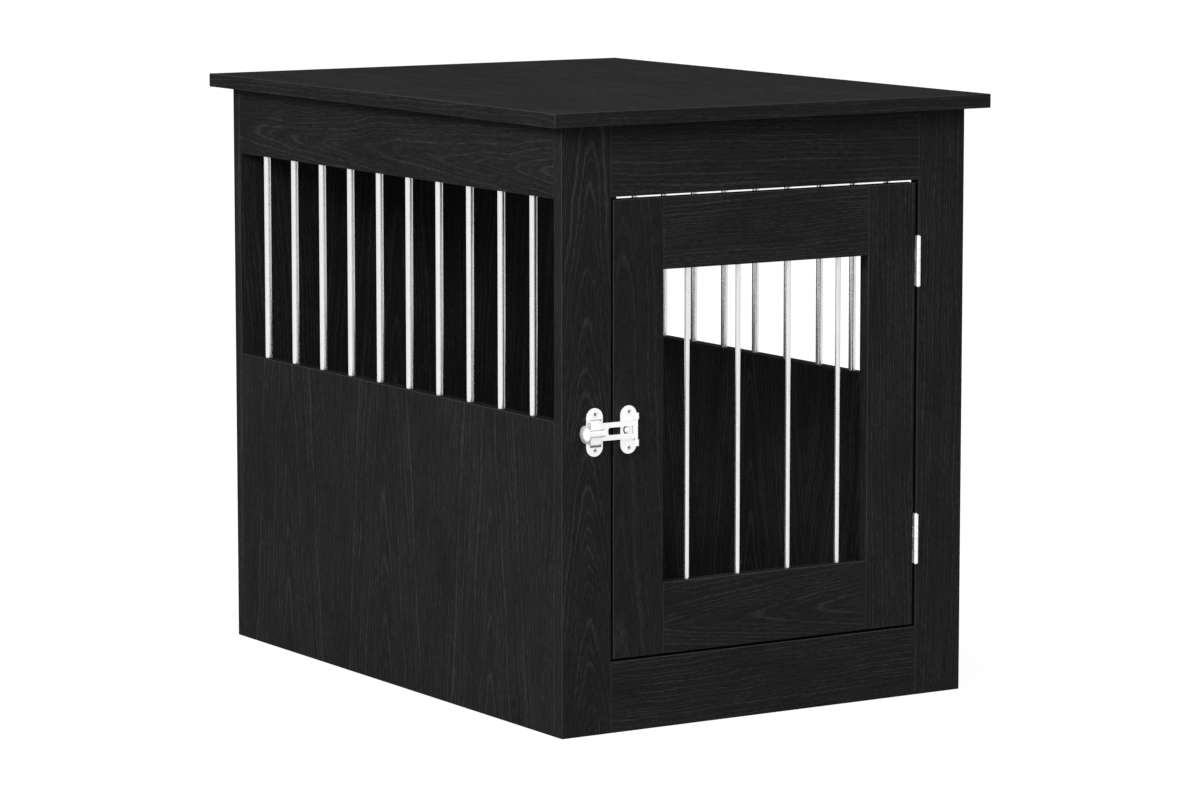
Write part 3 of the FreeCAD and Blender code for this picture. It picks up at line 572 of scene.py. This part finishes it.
# Stands screws where the plain ones of a CAD node are. aim is the way their heads face.
def makeScrews(node, body, aim, sizes):
    plain = nodes[node].data
    spots = np.zeros(len(plain.vertices) * 3)
    plain.vertices.foreach_get("co", spots)
    spots = spots.reshape(-1, 3)
    spots = spots[np.argsort(spots[:, 2])]
    breaks = np.flatnonzero(np.diff(spots[:, 2]) > screwMesh["leastApart"]) + 1
    axis = int(np.argmax(np.abs(aim)))
    places = []
    for one in np.split(spots, breaks):
        place = (one.min(0) + one.max(0)) / 2
        face = one[:, axis].max() if aim[axis] > 0 else one[:, axis].min()
        place[axis] = face - aim[axis] * sizes["Crown"]
        places.append(place)
    mesh = bpy.data.meshes.new(node + " spots")
    mesh.from_pydata([tuple(place) for place in places], [], [])
    mesh.attributes.new("aim", "FLOAT_VECTOR", "POINT").data.foreach_set("vector", list(aim) * len(places))
    holder = addObject("cross_" + node, mesh)
    grow = holder.modifiers.new("screws", "NODES")
    grow.node_group = screws.group
    steels = {"Material": finishes["screwSteel"], "Recess Shade Material": finishes["recessShadeSteel"]}
    for label, value in {**sizes, **steels}.items():
        grow[screws.keys[label]] = value
    bpy.context.view_layer.update()
    made = bpy.data.meshes.new_from_object(holder.evaluated_get(bpy.context.evaluated_depsgraph_get()))
    holder.modifiers.remove(grow)
    holder.data = made
    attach(holder, body)
    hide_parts(node)
    kinds = [made.materials[face.material_index] for face in made.polygons]
    recessed = kinds.count(finishes["recessShadeSteel"])
    print(node, "with cross recesses:", len(places), "screws,", len(kinds), "faces,", recessed, "recessed")


makeScrews("keeper_screws", "cabinet", (0, -1, 0), panHead)
makeScrews("latch_plate_screws", "door", (0, -1, 0), panHead)
makeScrews("hinge_frame_screws", "cabinet", (-1, 0, 0), sunkHead)
makeScrews("hinge_door_screws", "door", (1, 0, 0), sunkHead)


# Floor, lights and camera.
studio = {
    "floorShade": 0.30,
    "floorGlow": 0.78,      # shows to the camera and in gloss, and lights nothing
    "floorHalf": 30.0,
    "ambient": 0.86,        # the light from all round, which the camera and gloss see as full white
    "aim": (0, 0, 0.3),     # where both lamps point
    "above": {"at": (0.3, -2.6, 2.8), "size": 2.6, "power": 23},
    "side": {"at": (-2.86, -1.05, 1.95), "size": 1.1, "power": 64},
}


def seenShare(tree):
    path = tree.nodes.new("ShaderNodeLightPath")
    camera, glossy, through = (
        Sock(tree, path.outputs[name]) for name in ("Is Camera Ray", "Is Glossy Ray", "Is Transmission Ray"))
    return (camera + glossy + through).clamp()


def makeFloor():
    mesh = bpy.data.meshes.new("studio floor")
    half = studio["floorHalf"]
    corners = [(-half, -half, 0), (half, -half, 0), (half, half, 0), (-half, half, 0)]
    mesh.from_pydata(corners, [], [(0, 1, 2, 3)])
    paper = Finish("white paper")
    glow = paper.blend(seenShare(paper.tree), grey(0.0), grey(studio["floorGlow"]))
    paper.dress(Base_Color=grey(studio["floorShade"]), Roughness=1.0, Specular_IOR_Level=0.0,
                Emission_Color=glow, Emission_Strength=1.0)
    mesh.materials.append(paper.material)
    addObject("studio floor", mesh)


def makeWorld():
    world = bpy.data.worlds.new("studio")
    bpy.context.scene.world = world
    world.use_nodes = True
    tree = world.node_tree
    back = tree.nodes["Background"]
    seen = seenShare(tree)
    join(tree, back.inputs["Color"], (1, 1, 1, 1))
    join(tree, back.inputs["Strength"], studio["ambient"] + seen * (1 - studio["ambient"]))


def makeLamp(name, at, size, power):
    lamp = bpy.data.lights.new(name, "AREA")
    lamp.shape = "DISK"
    lamp.size = size
    lamp.energy = power
    holder = addObject(name, lamp)
    holder.location = at
    holder.rotation_mode = "QUATERNION"
    holder.rotation_quaternion = (Vector(studio["aim"]) - Vector(at)).to_track_quat("-Z", "Y")


# The camera stands off the front left corner and looks slightly down.
shot = {
    "sensor": 36,
    "lens": 142.94,
    "turn": 32.325,     # degrees from the front's normal
    "pitch": 7.618,
    "at": (-2.8097, -4.4658, 1.0018),
    "farthest": 100,
}


def makeCamera():
    camera = bpy.data.cameras.new("shot")
    camera.sensor_width = shot["sensor"]
    camera.lens = shot["lens"]
    camera.clip_end = shot["farthest"]
    holder = addObject("shot", camera)
    holder.location = shot["at"]
    holder.rotation_euler = (math.radians(90 - shot["pitch"]), 0, -math.radians(shot["turn"]))
    bpy.context.scene.camera = holder


makeFloor()
makeWorld()
for name in ("above", "side"):
    makeLamp(name, **studio[name])
makeCamera()
print("studio ready")
